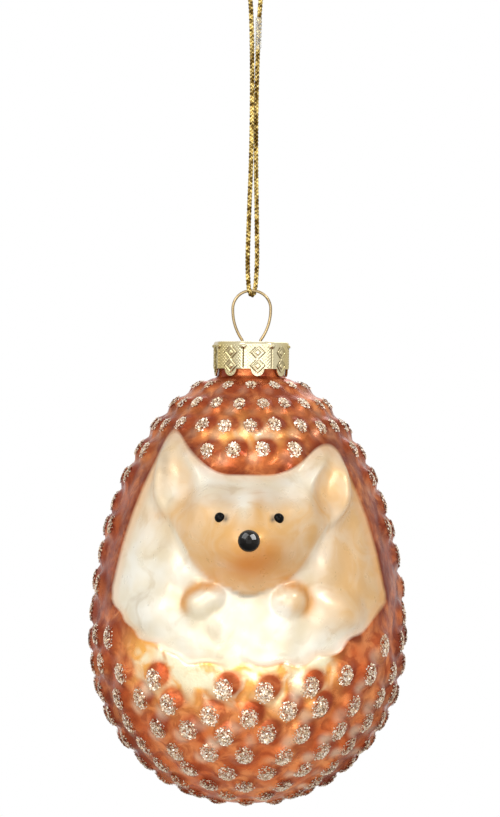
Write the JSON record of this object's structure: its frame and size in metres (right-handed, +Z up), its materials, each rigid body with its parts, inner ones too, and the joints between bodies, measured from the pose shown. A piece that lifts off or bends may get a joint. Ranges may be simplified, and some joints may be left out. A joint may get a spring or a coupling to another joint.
{
  "type": "hedgehog hanging ornament",
  "caption": "Hollow blown-glass hedgehog ornament with a glitter-dotted coat, bare face and belly, a stamped crown cap, a sprung wire ring and a looped hanging cord.",
  "frame": {"origin": "hang point: the inside of the top bend of the cord's loop, where a twig or hook carries it", "axes": "+Z up along the hanging line, -Y the way the face looks, +X to the right of someone facing the face"},
  "size_m": [0.06, 0.0687, 0.1624],
  "materials": {
    "gold_braid": "metallic braid",
    "clear_sleeve": "clear shrunk tube",
    "gold_wire": "bright drawn wire",
    "gold_cap": "stamped and polished",
    "lacquered_glass": "silvered inside, copper lacquer with a pearl cream face and belly outside",
    "glitter": "champagne glitter in clear glue",
    "black_enamel": "gloss enamel drop"
  },
  "bodies": {
    "cord": {"hanging_cord": "gold_braid", "cord_sleeve": "clear_sleeve"},
    "hanger": {"hanger_wire": "gold_wire"},
    "cap": {"crown_cap": "gold_cap"},
    "glass": {"glass_body": "lacquered_glass", "glitter_dots": "glitter", "nose": "black_enamel", "eye_left": "black_enamel", "eye_right": "black_enamel"}
  },
  "joints": [
    {"name": "ring_swing", "type": "hinge", "parent": "cord", "child": "hanger", "pos_m": [0, 0, -0.0648], "axis": [1, 0, 0], "range_deg": [-90, 90]},
    {"name": "hanger_rock", "type": "hinge", "parent": "hanger", "child": "cap", "pos_m": [0, 0, -0.07455], "axis": [1, 0, 0], "range_deg": [-8, 8]},
    {"name": "cap_pull", "type": "slide", "parent": "cap", "child": "glass", "axis": [0, 0, -1], "range_m": [0, 0.02]}
  ]
}
